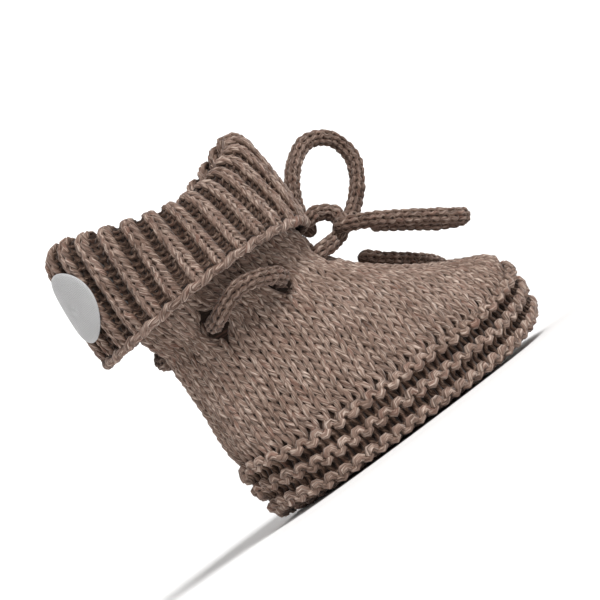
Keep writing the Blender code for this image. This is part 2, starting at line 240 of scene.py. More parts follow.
def write_mesh(name, points, faces, material, uv, triangles=None, level=None):
    """Put arrays of points and four sided faces (and any triangles) into a mesh object, in metres. The level,
    height off the cloth, becomes an attribute: how deep a point lies, from 0 at the top to 1 in the gaps. The
    wool materials paint shade by this attribute."""
    mesh = bpy.data.meshes.new(name)
    points = points * MM
    points[:, 0] += ORIGIN_X * MM
    quads = len(faces)
    tris = 0 if triangles is None else len(triangles)
    corners = faces.reshape(-1)
    flat = uv.reshape(-1, 2)
    if tris:
        corners = np.concatenate((corners, triangles.reshape(-1)))
        flat = np.vstack((flat, np.zeros((tris * 3, 2))))
    mesh.vertices.add(len(points))
    mesh.vertices.foreach_set("co", points.astype(np.float32).reshape(-1))
    mesh.loops.add(len(corners))
    mesh.loops.foreach_set("vertex_index", corners.astype(np.int32))
    mesh.polygons.add(quads + tris)
    start = np.concatenate((np.arange(quads) * 4, quads * 4 + np.arange(tris) * 3))
    mesh.polygons.foreach_set("loop_start", start.astype(np.int32))
    mesh.uv_layers.new(name="UVMap").uv.foreach_set("vector", flat.astype(np.float32).reshape(-1))
    if level is not None:
        # the attribute that the wool materials turn into painted shade
        deep = np.clip((SHADE_FREE_LEVEL - level) / SHADE_DEPTH_RANGE, 0, 1)
        sunk = mesh.attributes.new("sunk", "FLOAT", "POINT")
        sunk.data.foreach_set("value", deep.astype(np.float32).reshape(-1))
    mesh.update(calc_edges=True)
    mesh.validate()
    mesh.polygons.foreach_set("use_smooth", np.full(len(mesh.polygons), True))
    mesh.materials.append(material)
    obj = bpy.data.objects.new(name, mesh)
    bpy.context.collection.objects.link(obj)
    return obj


def dress(piece, slot, *nodes):
    """Fix a piece to the bootie's one body and let it stand for any solids named; its slot is not used."""
    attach(piece, "root")
    if nodes:
        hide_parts(*nodes)


def tube_grid(rings, sides, closed):
    """The ring and the side that each face of a tube starts from, and the numbers of its four corners."""
    m, k = np.meshgrid(np.arange(rings if closed else rings - 1), np.arange(sides), indexing="ij")
    m1, k1 = (m + 1) % rings, (k + 1) % sides
    return m, k, (m * sides + k, m * sides + k1, m1 * sides + k1, m1 * sides + k)


def corner_pairs(places):
    """Texture coordinates of the four corners of each face, from four pairs of arrays."""
    return np.stack([np.stack(pair, -1) for pair in places], axis=2).reshape(-1, 4, 2)


def sweep(path, normal, off, radius, sides, closed):
    """A round section carried along a path. The seam of the section lies at the back of the yarn.
    The level of a point is the path's height off the cloth less the radius times the cosine round it.
    The first texture coordinate is the length along the yarn in millimetres, the second the way round."""
    if closed:
        way = np.roll(path, -1, axis=0) - np.roll(path, 1, axis=0)
    else:
        way = np.gradient(path, axis=0)
    way = unit(way)
    side = unit(np.cross(normal, way))
    up = np.cross(way, side)
    turn = 2 * np.pi * np.arange(sides) / sides
    radius = np.broadcast_to(radius, (len(path),))[:, None]
    ring = -np.cos(turn)[None, :, None] * up[:, None] + np.sin(turn)[None, :, None] * side[:, None]
    points = (path[:, None] + radius[..., None] * ring).reshape(-1, 3)
    level = (np.broadcast_to(off, (len(path),))[:, None] - radius * np.cos(turn)[None, :]).reshape(-1)
    n = len(path)
    m, k, corners = tube_grid(n, sides, closed)
    faces = np.stack(corners, axis=-1).reshape(-1, 4)
    run = run_along(path)
    run = np.append(run, run[-1] + np.linalg.norm(path[0] - path[-1]))
    low, high, a, b = run[m], run[m + 1], k / sides, (k + 1) / sides
    uv = corner_pairs(((low, a), (low, b), (high, b), (high, a)))
    caps = np.zeros((0, 3), int)
    if not closed:
        fan = np.stack((np.zeros(sides - 2, int), np.arange(2, sides), np.arange(1, sides - 1)), axis=1)
        caps = np.vstack((fan, fan[:, ::-1] + (n - 1) * sides))
    return points, faces, uv, caps, level


def join_tubes(name, tubes, material):
    """Make one piece of several tubes, each as sweep gives it."""
    parts, base = [], 0
    for points, faces, uv, caps, level in tubes:
        parts.append((points, faces + base, uv, caps + base, level))
        base += len(points)
    points, faces, uv, caps, level = (np.concatenate(part) for part in zip(*parts))
    return write_mesh(name, points, faces, material, uv, triangles=caps, level=level)


def yarn_piece(name, yarns, material, radius=0.90, swell=-0.13):
    """Sweep each yarn and join them into one piece. Each yarn starts at its own place in the wool's colours.
    Its radius at the phase t of a loop is the radius plus the swell times cosine squared t."""
    tubes = []
    for path, normal, off, closed in yarns:
        phase = 2 * np.pi * np.arange(len(path)) / LOOP_POINTS
        thick = radius + swell * np.cos(phase) ** 2
        points, faces, uv, caps, level = sweep(path, normal, off, thick, YARN_SIDES, closed)
        tubes.append((points, faces, uv + np.array((RNG.uniform(0, 900), 0)), caps, level))
    return join_tubes(name, tubes, material)


def grid_piece(name, rings, material, uv_scale, flip=False, close_v=False):
    """Skin closed rings of points. The texture coordinates are the shares of the way round and up, scaled."""
    nv, nu = rings.shape[:2]
    v, u, corners = tube_grid(nv, nu, close_v)
    if flip:
        corners = corners[::-1]
    faces = np.stack(corners, axis=-1).reshape(-1, 4)
    low_u, high_u = u / nu * uv_scale[0], (u + 1) / nu * uv_scale[0]
    low_v, high_v = v / nv * uv_scale[1], (v + 1) / nv * uv_scale[1]
    texture = [(low_u, low_v), (high_u, low_v), (high_u, high_v), (low_u, high_v)]
    if flip:
        texture = texture[::-1]
    return write_mesh(name, rings.reshape(-1, 3), faces, material, corner_pairs(texture))


# stitches

def loops(kinds, above, closed, points=LOOP_POINTS, lean=0.235, loop=0.98, depth=0.62, legs=1.0, first=0):
    """One course of loops as arrays along the yarn.

    Over one stitch the phase t goes from 0 to a whole turn. Across, in stitches: t / turn + lean sin 2t.
    Along the wale, in rows: minus loop cos t. Off the cloth, in millimetres: the leg (weight sin squared t)
    lies forward on a knit stitch and back on a purl. The foot (weight half of 1 plus cos t, times cos
    squared) lies the other way, between its two neighbours, and the head forward only where the stitch
    above is a purl. Each stitch is a little off at random, in lean, place, height and depth."""
    n = len(kinds)
    t = 2 * np.pi * np.arange(points) / points
    near = np.where(t < np.pi, 0, 1)
    left = np.roll(kinds, 1) if closed else np.concatenate((kinds[:1], kinds[:-1]))
    right = np.roll(kinds, -1) if closed else np.concatenate((kinds[1:], kinds[-1:]))
    foot = -0.5 * (kinds[:, None] + np.where(near, right[:, None], left[:, None]))
    leg = legs * kinds[:, None] * np.ones_like(t)
    head = -above[:, None] * np.ones_like(t)
    cos, sin = np.cos(t), np.sin(t)
    off = depth * (leg * sin ** 2 + cos ** 2 * (0.5 * (1 + cos) * foot + 0.5 * (1 - cos) * head))
    wobble = RNG.normal(0, 1, (4, n, 1))
    across = first + np.arange(n)[:, None] + t / (2 * np.pi) + lean * (1 + 0.08 * wobble[0]) * np.sin(2 * t)
    across = across + 0.022 * wobble[1]
    rows = -loop * (1 + 0.035 * wobble[2]) * cos
    off = off + 0.07 * wobble[3]
    return across.reshape(-1), rows.reshape(-1), off.reshape(-1)


def smooth_wobble(count, size):
    """A slow random drift along a course, as a sum of six sines."""
    waves = 6
    x = np.linspace(0, 2 * np.pi, count)
    k = np.arange(1, waves + 1)[:, None]
    return (size / np.sqrt(waves)) * np.sin(k * x + RNG.uniform(0, 2 * np.pi, (waves, 1))).sum(axis=0)


def open_eyelets(path):
    """Part the yarn round each eyelet: a point at distance r moves out to the cube root of r cubed plus the
    hole's size cubed, fading off through the cloth."""
    for centre, normal, hole in EYELETS:
        way = path - centre
        through = way @ normal
        flat = way - through[:, None] * normal
        r = np.maximum(np.linalg.norm(flat, axis=1), 1e-6)
        push = (r ** 3 + hole ** 3) ** (1 / 3) / r - 1
        keep = np.exp(-(through / 4.0) ** 4) * np.exp(-(r / (2 * hole)) ** 4)
        path = path + flat * (push * keep)[:, None]
    return path


# materials

WHOLE_TURN = 6.28319


def fill(links, node, settings):
    """Link a socket or set a value at inputs of a node, by name or number. Gives its first output."""
    for label, value in settings:
        if isinstance(value, bpy.types.NodeSocket):
            links.new(value, node.inputs[label])
        else:
            node.inputs[label].default_value = value
    return node.outputs[0]


def maths(nodes, links, operation, *values):
    node = nodes.new("ShaderNodeMath")
    node.operation = operation
    return fill(links, node, enumerate(values))


def noise_texture(nodes, links, vector, scale, detail, roughness=0.5):
    return fill(links, nodes.new("ShaderNodeTexNoise"), (
        ("Vector", vector), ("Scale", scale), ("Detail", detail), ("Roughness", roughness)))


def new_material(name, settings):
    """A material with its plain shader, the settings given by the names of the shader's inputs."""
    material = bpy.data.materials.new(name)
    material.use_nodes = True
    nodes, links = material.node_tree.nodes, material.node_tree.links
    fill(links, nodes["Principled BSDF"], settings)
    return material, nodes, links, nodes["Principled BSDF"]


def raise_relief(nodes, links, shader, height, strength, distance):
    normal = fill(links, nodes.new("ShaderNodeBump"), (
        ("Height", height), ("Strength", strength), ("Distance", distance)))
    links.new(normal, shader.inputs["Normal"])


def melange_group():
    """Heathered wool on a twisted yarn. Along the yarn and round it make a skewed coordinate that follows the
    ply; long thin noise on it draws the pale and dark fibres, and a sine of it draws the plies. The Sunk
    input
    paints light and shade: brighter at the top of the yarn, near black deep in the gaps."""
    group = bpy.data.node_groups.new("melange_wool", "ShaderNodeTree")
    for way, kind, labels in (
            ("INPUT", "Vector", ("Yarn", "Place")), ("INPUT", "Color", ("Base", "Pale", "Dark", "Rust")),
            ("INPUT", "Float", ("Sunk", "Lay", "Plies")), ("OUTPUT", "Color", ("Color",)),
            ("OUTPUT", "Float", ("Height",))):
        for label in labels:
            group.interface.new_socket(name=label, in_out=way, socket_type="NodeSocket" + kind)
    nodes, links = group.nodes, group.links
    source, sink = nodes.new("NodeGroupInput"), nodes.new("NodeGroupOutput")

    def math(operation, *values):
        return maths(nodes, links, operation, *values)

    split = nodes.new("ShaderNodeSeparateXYZ")
    links.new(source.outputs["Yarn"], split.inputs[0])
    along, around = split.outputs[0], split.outputs[1]
    turns = math("DIVIDE", along, source.outputs["Lay"])
    skew = math("ADD", around, turns)

    def streaks(fine, long, shift, detail):
        parts = (math("MULTIPLY", skew, fine), math("MULTIPLY", along, long), shift)
        vector = fill(links, nodes.new("ShaderNodeCombineXYZ"), enumerate(parts))
        return noise_texture(nodes, links, vector, 1.0, detail, 0.6)

    def ramp(value, low, high):
        node = nodes.new("ShaderNodeValToRGB")
        for stop, place, grey in zip(node.color_ramp.elements, (low, high), (0.0, 1.0)):
            stop.position = place
            stop.color = (grey, grey, grey, 1)
        return fill(links, node, ((0, value),))

    def blend(amount, low, high, mode="MIX"):
        node = nodes.new("ShaderNodeMix")
        node.data_type = "RGBA"
        node.blend_type = mode
        fill(links, node, (("Factor", amount), (6, low), (7, high)))
        return node.outputs[2]

    def ranged(value, limits, kind):
        node = nodes.new("ShaderNodeMapRange")
        node.interpolation_type = kind
        return fill(links, node, zip(("Value", "From Min", "From Max", "To Min", "To Max"), (value, *limits)))

    # fibres: scale round and along the yarn, place in the noise, detail, then where they begin and how much
    colour = source.outputs["Base"]
    for label, streak, low, strength in (
            ("Rust", (3.0, 0.11, 29.3, 1.0), 0.56, 0.5), ("Pale", (13.0, 0.34, 3.1, 2.0), 0.48, 0.66),
            ("Dark", (11.0, 0.30, 17.7, 2.0), 0.50, 0.76)):
        amount = math("MULTIPLY", ramp(streaks(*streak), low, 0.68), strength)
        colour = blend(amount, colour, source.outputs[label])
    # cloud: a slow random mottle of the wool's tone over the piece
    cloud = noise_texture(nodes, links, source.outputs["Place"], 110.0, 2.0)
    shade = ranged(cloud, (0.25, 0.75, 0.80, 1.18), "LINEAR")
    # painted light and shade: the top of the yarn is painted up to 1.3 times as bright, the gaps down to a
    # tenth; a higher power for green and blue makes the painted shade redder
    deep = ranged(source.outputs["Sunk"], (0.00, 0.58, 1.30, 0.09), "SMOOTHSTEP")
    light = math("MULTIPLY", shade, deep)
    mottle_and_painted_shade = fill(links, nodes.new("ShaderNodeCombineColor"), enumerate(
        math("POWER", light, power) for power in (0.92, 1.05, 1.15)))
    colour = blend(1.0, colour, mottle_and_painted_shade, "MULTIPLY")
    phase = math("ADD", math("MULTIPLY", around, source.outputs["Plies"]), turns)
    ply = math("SINE", math("MULTIPLY", phase, WHOLE_TURN))
    hair = streaks(22.0, 0.6, 41.0, 3.0)
    height = math("ADD", math("MULTIPLY", ply, 0.5), math("MULTIPLY", hair, 1.1))
    links.new(colour, sink.inputs["Color"])
    links.new(height, sink.inputs["Height"])
    return group


def wool_material(name, base, pale, dark, lay=15.0, relief=0.75):
    """Yarn seen close: the melange group gives colour and ply and paints shade by the sunk attribute, the
    shader keeps a soft woollen sheen.
    """
    material, nodes, links, shader = new_material(name, (
        ("Roughness", 0.92), ("Specular IOR Level", 0.18), ("Sheen Weight", 0.10), ("Sheen Roughness", 0.5)))
    place = nodes.new("ShaderNodeTexCoord")
    wool = nodes.new("ShaderNodeGroup")
    wool.node_tree = MELANGE
    # how deep each point lies, which the melange group turns into painted shade
    sunk = nodes.new("ShaderNodeAttribute")
    sunk.attribute_name = "sunk"
    colour = fill(links, wool, (
        ("Yarn", place.outputs["UV"]), ("Place", place.outputs["Object"]), ("Sunk", sunk.outputs["Fac"]),
        ("Base", (*base, 1)), ("Pale", (*pale, 1)), ("Dark", (*dark, 1)), ("Rust", RUST), ("Lay", lay),
        ("Plies", 3.0)))
    links.new(colour, shader.inputs["Base Color"])
    raise_relief(nodes, links, shader, wool.outputs["Height"], strength=relief, distance=0.00025)
    return material


MELANGE = melange_group()
TAUPE = (0.193, 0.124, 0.094)
BEIGE = (0.62, 0.49, 0.405)
UMBER = (0.030, 0.015, 0.010)
RUST = (0.165, 0.076, 0.054, 1)
yarn_wool = wool_material("wool_yarn", TAUPE, BEIGE, UMBER)
sole_wool = wool_material("wool_sole_yarn", (0.197, 0.126, 0.095), BEIGE, UMBER)
cuff_wool = wool_material("wool_cuff_yarn", (0.190, 0.122, 0.094), BEIGE, UMBER)
cord_wool = wool_material("wool_cord_yarn", (0.183, 0.119, 0.093), (0.57, 0.45, 0.375), UMBER, lay=12.0)
# a felt painted near black under the yarn: painted shade for the gaps between stitches
shade_felt = wool_material("painted_shade_felt", (0.021, 0.012, 0.008), (0.045, 0.028, 0.020), (0.009, 0.005, 0.003),
                     relief=0.2)


def label_material():
    """Light grey woven satin: fine crossed waves of warp and weft as relief, a faint cloud as colour."""
    material, nodes, links, shader = new_material("label_satin", (("Roughness", 0.5), ("Sheen Weight", 0.3)))
    place = nodes.new("ShaderNodeTexCoord").outputs["Object"]
    weave = []
    for direction in ("Y", "Z"):
        wave = nodes.new("ShaderNodeTexWave")
        wave.bands_direction = direction
        fill(links, wave, (("Vector", place), ("Scale", 700.0)))
        weave.append(wave.outputs["Fac"])
    height = maths(nodes, links, "MULTIPLY", *weave)
    raise_relief(nodes, links, shader, height, strength=1.0, distance=0.00012)
    tint = nodes.new("ShaderNodeValToRGB")
    tint.color_ramp.elements[0].color = (0.42, 0.418, 0.422, 1)
    tint.color_ramp.elements[1].color = (0.51, 0.507, 0.51, 1)
    colour = fill(links, tint, ((0, noise_texture(nodes, links, place, 260.0, 3.0)),))
    links.new(colour, shader.inputs["Base Color"])
    return material


satin = label_material()

# camera, lights and floor

def aim(obj, target, roll=0.0):
    """Turn an object so that its -Z looks at the target, then roll it about its own view."""
    way = target - np.array(obj.location)
    flat = np.hypot(way[0], way[1])
    obj.rotation_mode = "XYZ"
    base = (np.arctan2(flat, -way[2]), 0.0, np.arctan2(-way[0], way[1]))
    turn = Euler(base).to_matrix() @ Matrix.Rotation(roll, 3, "Z")
    obj.rotation_euler = turn.to_euler()


def backdrop(azimuth):
    """A sheet square to the camera's way: flat, then a quarter round up into a wall, in metres."""
    start, radius, top, half = 1.6, 0.9, 4.5, 4.0
    x = np.linspace(-half, half, 5)
    bend = np.linspace(0.1, np.pi / 2, 10)
    y = np.concatenate((np.linspace(-half, start, 8), start + radius * np.sin(bend), [start + radius]))
    z = np.concatenate((np.zeros(8), radius - radius * np.cos(bend), [top]))
    x, y, z = np.broadcast_arrays(x[None, :], y[:, None], z[:, None])
    c, s = np.cos(azimuth), np.sin(azimuth)
    turned = np.stack((x * c - y * s, x * s + y * c, z), -1)
    # every face of the grid but those that would close it round
    faces = np.stack(tube_grid(*turned.shape[:2], False)[2], -1)[:, :-1].reshape(-1, 4)
    mesh = bpy.data.meshes.new("floor")
    mesh.from_pydata(turned.reshape(-1, 3).tolist(), [], faces.tolist())
    mesh.polygons.foreach_set("use_smooth", [True] * len(mesh.polygons))
    paper = (("Base Color", (0.90, 0.895, 0.89, 1)), ("Roughness", 0.9))
    mesh.materials.append(new_material("pale_paper", paper)[0])
    return bpy.data.objects.new("floor", mesh)


def studio():
    """A white floor that runs up into a backdrop, a soft sun over the camera's shoulder and a white world."""
    scene = bpy.context.scene
    scene.view_settings.view_transform = "Standard"
    camera = bpy.data.objects.new("camera", bpy.data.cameras.new("camera"))
    scene.collection.objects.link(camera)
    scene.camera = camera
    camera.data.lens = 148.0
    camera.data.sensor_width = 36.0
    camera.data.clip_start = 0.01
    azimuth, roll = np.radians(-29.4), np.radians(-36.0)
    reach, height = 0.66, 0.028
    centre = np.array((0.0, 0.0, 0.0455))
    camera.location = (reach * np.sin(azimuth), -reach * np.cos(azimuth), height)
    aim(camera, centre, roll)
    world = bpy.data.worlds.new("studio")
    scene.world = world
    world.use_nodes = True
    sky = world.node_tree
    fill(sky.links, sky.nodes["Background"], (("Color", (1.0, 0.995, 0.99, 1)), ("Strength", 0.27)))
    # the two suns: degrees round and up, power and spread
    for name, turn, rise, power, spread in (
            ("key", 5.0, 51.0, 3.15, 24.0), ("fill", -95.0, 30.0, 0.45, 50.0)):
        light = bpy.data.objects.new(name, bpy.data.lights.new(name, "SUN"))
        light.data.energy = power
        light.data.angle = np.radians(spread)
        a, e = np.radians(turn), np.radians(rise)
        light.location = (np.sin(a) * np.cos(e), -np.cos(a) * np.cos(e), np.sin(e))
        aim(light, np.zeros(3))
        scene.collection.objects.link(light)
    floor = backdrop(azimuth)
    scene.collection.objects.link(floor)


studio()


# the knitted cord of the tie

CORD_WALES = 4
CORD_PITCH = 2.35
CORD_YARN = 0.76
CORE_RADIUS = 1.35
CORE_SIDES = 8
# as deep as a gap, so that painted shade makes the core dark between the yarn
CORE_LEVEL = -2.0
# a direction that no cord runs along
ASKEW = np.array((0.31, 0.52, 0.79))


def smooth_route(points, step):
    """A Catmull-Rom curve through the route, then points evenly spaced along it."""
    p = np.array(points, float)
    ends = np.vstack((2 * p[:1] - p[1:2], p, 2 * p[-1:] - p[-2:-1]))
    t = np.linspace(0, 1, 24, endpoint=False)[None, :, None]
    a, b, c, d = (ends[i:len(ends) - 3 + i, None] for i in range(4))
    fine = 0.5 * (2 * b + (c - a) * t + (2 * a - 5 * b + 4 * c - d) * t ** 2
                  + (3 * b - a - 3 * c + d) * t ** 3)
    fine = np.vstack((fine.reshape(-1, 3), p[-1:]))
    run = run_along(fine)
    want = np.linspace(0, run[-1], max(4, int(round(run[-1] / step))) + 1)
    return np.stack([np.interp(want, run, fine[:, i]) for i in range(3)], axis=1)


def carried_frames(path):
    """Two directions carried along the path with no twist: each step takes the last side square to the new
    way, and the other is square to both."""
    way = unit(np.gradient(path, axis=0))
    side = unit(np.cross(way[0], ASKEW))
    sides = []
    for w in way:
        side = unit(side - (side @ w) * w)
        sides.append(side)
    sides = np.array(sides)
    return sides, np.cross(way, sides)


def cord_yarn(route):
    """The yarn of a knitted cord: a course of loops wound round the route as a helix, one turn a row. Both
    ends close like a quarter round."""
    spare, closing, least = 0.12, 1.4, 0.02
    path = smooth_route(route, 0.5)
    run = run_along(path)
    rounds = max(3, int(run[-1] / CORD_PITCH))
    kinds = np.ones(rounds * CORD_WALES, int)
    across, rows, off = loops(kinds, kinds, False, points=10, depth=0.24, loop=1.0, lean=0.18)
    lengthwise = np.clip((across / CORD_WALES + 0.5 * rows) / rounds * run[-1], 0, run[-1])
    centre, one, two = (np.stack([np.interp(lengthwise, run, rows_of[:, i]) for i in range(3)], axis=1)
                        for rows_of in (path, *carried_frames(path)))
    turn = 2 * np.pi * across / CORD_WALES
    radial = np.cos(turn)[:, None] * one + np.sin(turn)[:, None] * two
    reach = 0.5 * CORD_D - CORD_YARN - spare
    close = np.minimum(1, np.minimum(lengthwise, run[-1] - lengthwise) / closing)
    close = np.sqrt(np.clip(1 - (1 - close) ** 2, least, 1))
    return centre + radial * ((reach + off) * close)[:, None], radial, off


def cord_piece(name, route, node):
    """A knitted cord: its yarn, and a plain core of the same wool inside. Gives the core's line as well."""
    yarn, radial, off = cord_yarn(route)
    core = smooth_route(route, 1.6)
    lean = unit(np.cross(unit(np.gradient(core, axis=0)), ASKEW))
    piece = join_tubes(name, (sweep(yarn, radial, off, CORD_YARN, YARN_SIDES, False),
                              sweep(core, lean, CORE_LEVEL, CORE_RADIUS, CORE_SIDES, False)), cord_wool)
    dress(piece, "cord_wool", node)
    return piece, core


def ring_toward(angle, height):
    """The upper's ring at a height, and which of its points lies at a plan angle from the front."""
    ring = upper_rings(np.array([height]), np.array([0.0]))[0]
    row = section_at(height)
    way = unit(ring[:, :2] - np.array((0.25 * SOLE_LENGTH * (row[1] - row[0]), 0)))
    want = np.array((np.cos(np.radians(angle)), np.sin(np.radians(angle))))
    return ring, int(np.argmax(way @ want))


def upper_point(angle, height, outward):
    """Point and direction on the upper's outer face at a plan angle from the front, in degrees."""
    ring, k = ring_toward(angle, height)
    along = unit(ring[(k + 1) % RING_STEPS] - ring[k - 1])
    normal = np.array((along[1], -along[0], 0.0))
    return ring[k] + normal * outward, normal


EYELETS = [(*upper_point(side * angle, EYELET_HEIGHT, EYELET_SUNK), hole) for side in (-1, 1)
           for angle, hole in zip(EYELET_ANGLES, EYELET_PARTS)]

# the bow: routes of its cords in the CAD's millimetres
LOOP_RIGHT = ((11.6, -5.9, 55.9), (18.5, -9.6, 52.6), (27.5, -13.0, 46.8), (35.2, -15.8, 41.4),
              (40.6, -15.0, 38.6), (42.2, -11.4, 38.4), (39.4, -8.4, 40.2), (31.4, -6.6, 45.4),
              (22.2, -4.4, 51.4))
LOOP_LEFT = ((10.8, 5.3, 58.4), (13.0, 7.2, 67.0), (18.8, 6.8, 76.0), (27.0, 6.2, 80.4), (34.4, 6.0, 77.6),
             (36.6, 6.0, 70.0), (32.6, 6.2, 62.6), (25.4, 5.8, 57.2), (18.0, 5.8, 54.8))
KNOT = ((10.4, -1.6, 52.6), (15.9, -1.6, 55.0), (17.4, 0.0, 59.4), (13.0, 0.9, 62.4), (8.8, 0.6, 61.4))
END_RIGHT = ((16.4, 0.6, 45.8), (21.0, 0.6, 42.0), (26.6, 1.2, 38.6), (32.2, 3.0, 35.6), (37.6, 6.0, 33.0),
             (42.2, 9.8, 29.6))
# its left end hangs on the upper: plan angle, height, how far it stands off
HANG_LEFT = ((36.0, 56.5, 2.4), (41.0, 52.0, 1.6), (45.0, 46.0, 0.9), (47.0, 39.0, 0.7), (48.0, 31.0, 0.6),
             (48.0, 23.5, 0.6))


def run_between(first, last, arch):
    """A run outside the ankle, from inside one eyelet out, along the arch, and in at the next. A row of the
    arch gives the plan angle, how far the cord stands off the wall and how far it rises."""
    route = [upper_point(first, EYELET_HEIGHT, sunk)[0] for sunk in (-5.5, -0.5)]
    route += [upper_point(angle, EYELET_HEIGHT + rise, CLEAR + stand)[0] for angle, stand, rise in arch]
    return route + [upper_point(last, EYELET_HEIGHT, sunk)[0] for sunk in (-0.5, -5.5)]


def side_run(side):
    """The slack run between the side eyelet and the back one."""
    first, last = EYELET_ANGLES[1], EYELET_ANGLES[2]
    start, stop = first + EYELET_MARGIN, last - EYELET_MARGIN
    arch = [(side * (start + f * (stop - start)), stand, rise) for f, stand, rise in (
        (0.03, 0.2, 0.4), (0.16, 2.2, 1.6), (0.36, 4.2, 3.4), (0.6, 4.4, 3.8), (0.84, 2.4, 1.8),
        (0.97, 0.2, 0.4))]
    return run_between(side * first, side * last, arch)


def front_run():
    """The short run across the front, under the knot."""
    reach = EYELET_ANGLES[0]
    arch = [(f * reach, stand, rise) for f, stand, rise in (
        (-0.8, 0.3, 0.1), (-0.5, 0.6, 0.4), (0.0, 0.7, 0.6), (0.5, 0.6, 0.4), (0.8, 0.3, 0.1))]
    return run_between(-reach, reach, arch)


def tie():
    """The runs outside the ankle, then the bow: its knot, two loops and two ends."""
    cord_piece("tie_run_right", side_run(-1), "tie_side_right")
    cord_piece("tie_run_left", side_run(1), "tie_side_left")
    cord_piece("tie_run_front", front_run(), "tie_front")
    knot = cord_piece("bow_knot_cord", KNOT, "bow_knot")[0]
    left_end = [upper_point(a, z, CLEAR + stand)[0] for a, z, stand in HANG_LEFT]
    for name, route, node, far, extra in (
            ("bow_loop_right_cord", LOOP_RIGHT, "bow_loop_right", "knot", [knot]),
            ("bow_loop_left_cord", LOOP_LEFT, "bow_loop_left", "knot", []),
            ("tie_end_right_cord", END_RIGHT, "tie_end_right", "bare", []),
            ("tie_end_left_cord", left_end, "tie_end_left", "bare", [])):
        piece, core = cord_piece(name, route, node)


tie()


# the sole: seed stitch, worked at a slant across the panel

def sole_panel():
    """Seed stitch: knit and purl take turns along each course and from course to course.

    A point of the chart lies at the slanted course and wale directions in plan. Each seed swells: minus a
    sine across the stitches times a cosine up the rows. The panel bends up with the toe spring, and near its
    edge it turns in to the seam."""
    slant = np.radians(15.0)
    course = np.array((np.cos(slant), np.sin(slant)))
    wale = np.array((-np.sin(slant), np.cos(slant)))
    stitch, row = 3.72, 2.62
    half_courses, half_wales = 14, 17
    under = 1.2
    outline = np.stack(oval(-0.5 * SOLE_LENGTH - under, 0.5 * SOLE_LENGTH + under, 0.5 * SOLE_WIDTH + under,
                            SOLE_SQUARE, BALL_SPREAD, 720), 1)
    angle = np.unwrap(np.arctan2(outline[:, 1], outline[:, 0]))
    radius = np.hypot(outline[:, 0], outline[:, 1])

    def share(xy):
        """How far out a point is: its distance from the middle over the outline's distance that way."""
        a = np.mod(np.arctan2(xy[:, 1], xy[:, 0]) - angle[0], 2 * np.pi) + angle[0]
        return np.hypot(xy[:, 0], xy[:, 1]) / np.interp(a, angle, radius)

    yarns = []
    for j in range(-half_courses, half_courses + 1):
        i = np.arange(-half_wales, half_wales)
        middle = (i[:, None] + 0.5) * stitch * course + j * row * wale
        inside = np.nonzero(share(middle) < 1.0)[0]
        if len(inside) < 2:
            continue
        i = i[inside[0]:inside[-1] + 1]
        kinds = np.where((i + j) % 2 == 0, 1, -1)
        across, rows, off = loops(kinds, -kinds, False, depth=0.60, loop=0.80, lean=0.16, legs=0.30,
                                  first=i[0])
        off = off - 0.50 * np.sin(np.pi * across) * np.cos(np.pi * (j + rows + 0.5))
        up = j + rows + smooth_wobble(len(rows), 0.06)
        xy = across[:, None] * stitch * course + up[:, None] * row * wale
        out = share(xy)
        over = np.maximum(1, out / 1.005)
        xy = xy / over[:, None]
        turn_in = 1.2 * np.clip((out - 0.90) / 0.10, 0, 1) ** 2
        z = spring(xy[:, 0]) + 2.16 + turn_in - off
        path = np.column_stack((xy, z))
        down = np.tile((0.0, 0.0, -1.0), (len(path), 1))
        # the level is set lower where the panel turns in, so that painted shade darkens the seam
        yarns.append((path, down, off - 0.5 * turn_in, False))
    dress(yarn_piece("sole_seed_stitch", yarns, sole_wool, swell=0.20), "sole_wool", "sole")
    # a felt painted near black behind the seed stitch: painted shade in its gaps
    rings = []
    for size, z in ((0.02, 2.0), (0.3, 2.0), (0.6, 2.0), (0.88, 2.0), (0.955, 2.6), (0.965, 3.4),
                    (0.95, 4.0), (0.6, 4.0), (0.3, 4.0), (0.02, 4.0)):
        x, y = outline[::6, 0] * size, outline[::6, 1] * size
        rings.append(np.stack((x, y, z + spring(x)), axis=1))
    dress(grid_piece("sole_shade_felt", np.array(rings)[::-1], shade_felt, (60, 24), flip=True), "sole_wool")


sole_panel()


# the upper: band, sides, instep and leg

# creases that the tie draws in the ankle: plan angle from the front, depth, half width, reach up and down
CREASES = (
    (14.0, 0.9, 2.2, 9.0), (28.0, 1.0, 2.2, 5.0), (46.0, 1.0, 2.6, 11.0), (64.0, 1.2, 2.4, 12.0),
    (83.0, 1.7, 2.8, 6.0), (104.0, 1.2, 2.6, 12.0), (122.0, 1.0, 2.4, 10.0), (140.0, 1.9, 3.0, 6.0),
    (163.0, 1.2, 2.8, 13.0), (-10.0, 0.8, 2.2, 8.0), (-28.0, 1.0, 2.2, 5.0), (-44.0, 1.2, 2.6, 11.0),
    (-62.0, 1.2, 2.4, 13.0), (-83.0, 1.7, 2.8, 6.0), (-101.0, 1.2, 2.4, 12.0), (-119.0, 1.2, 2.6, 13.0),
    (-140.0, 1.9, 3.0, 6.0), (-164.0, 1.1, 2.6, 12.0),
)


def share_round(angle):
    """Share of the way round the ankle, from the toe by the left, at a plan angle."""
    return ring_toward(angle, EYELET_HEIGHT)[1] / RING_STEPS


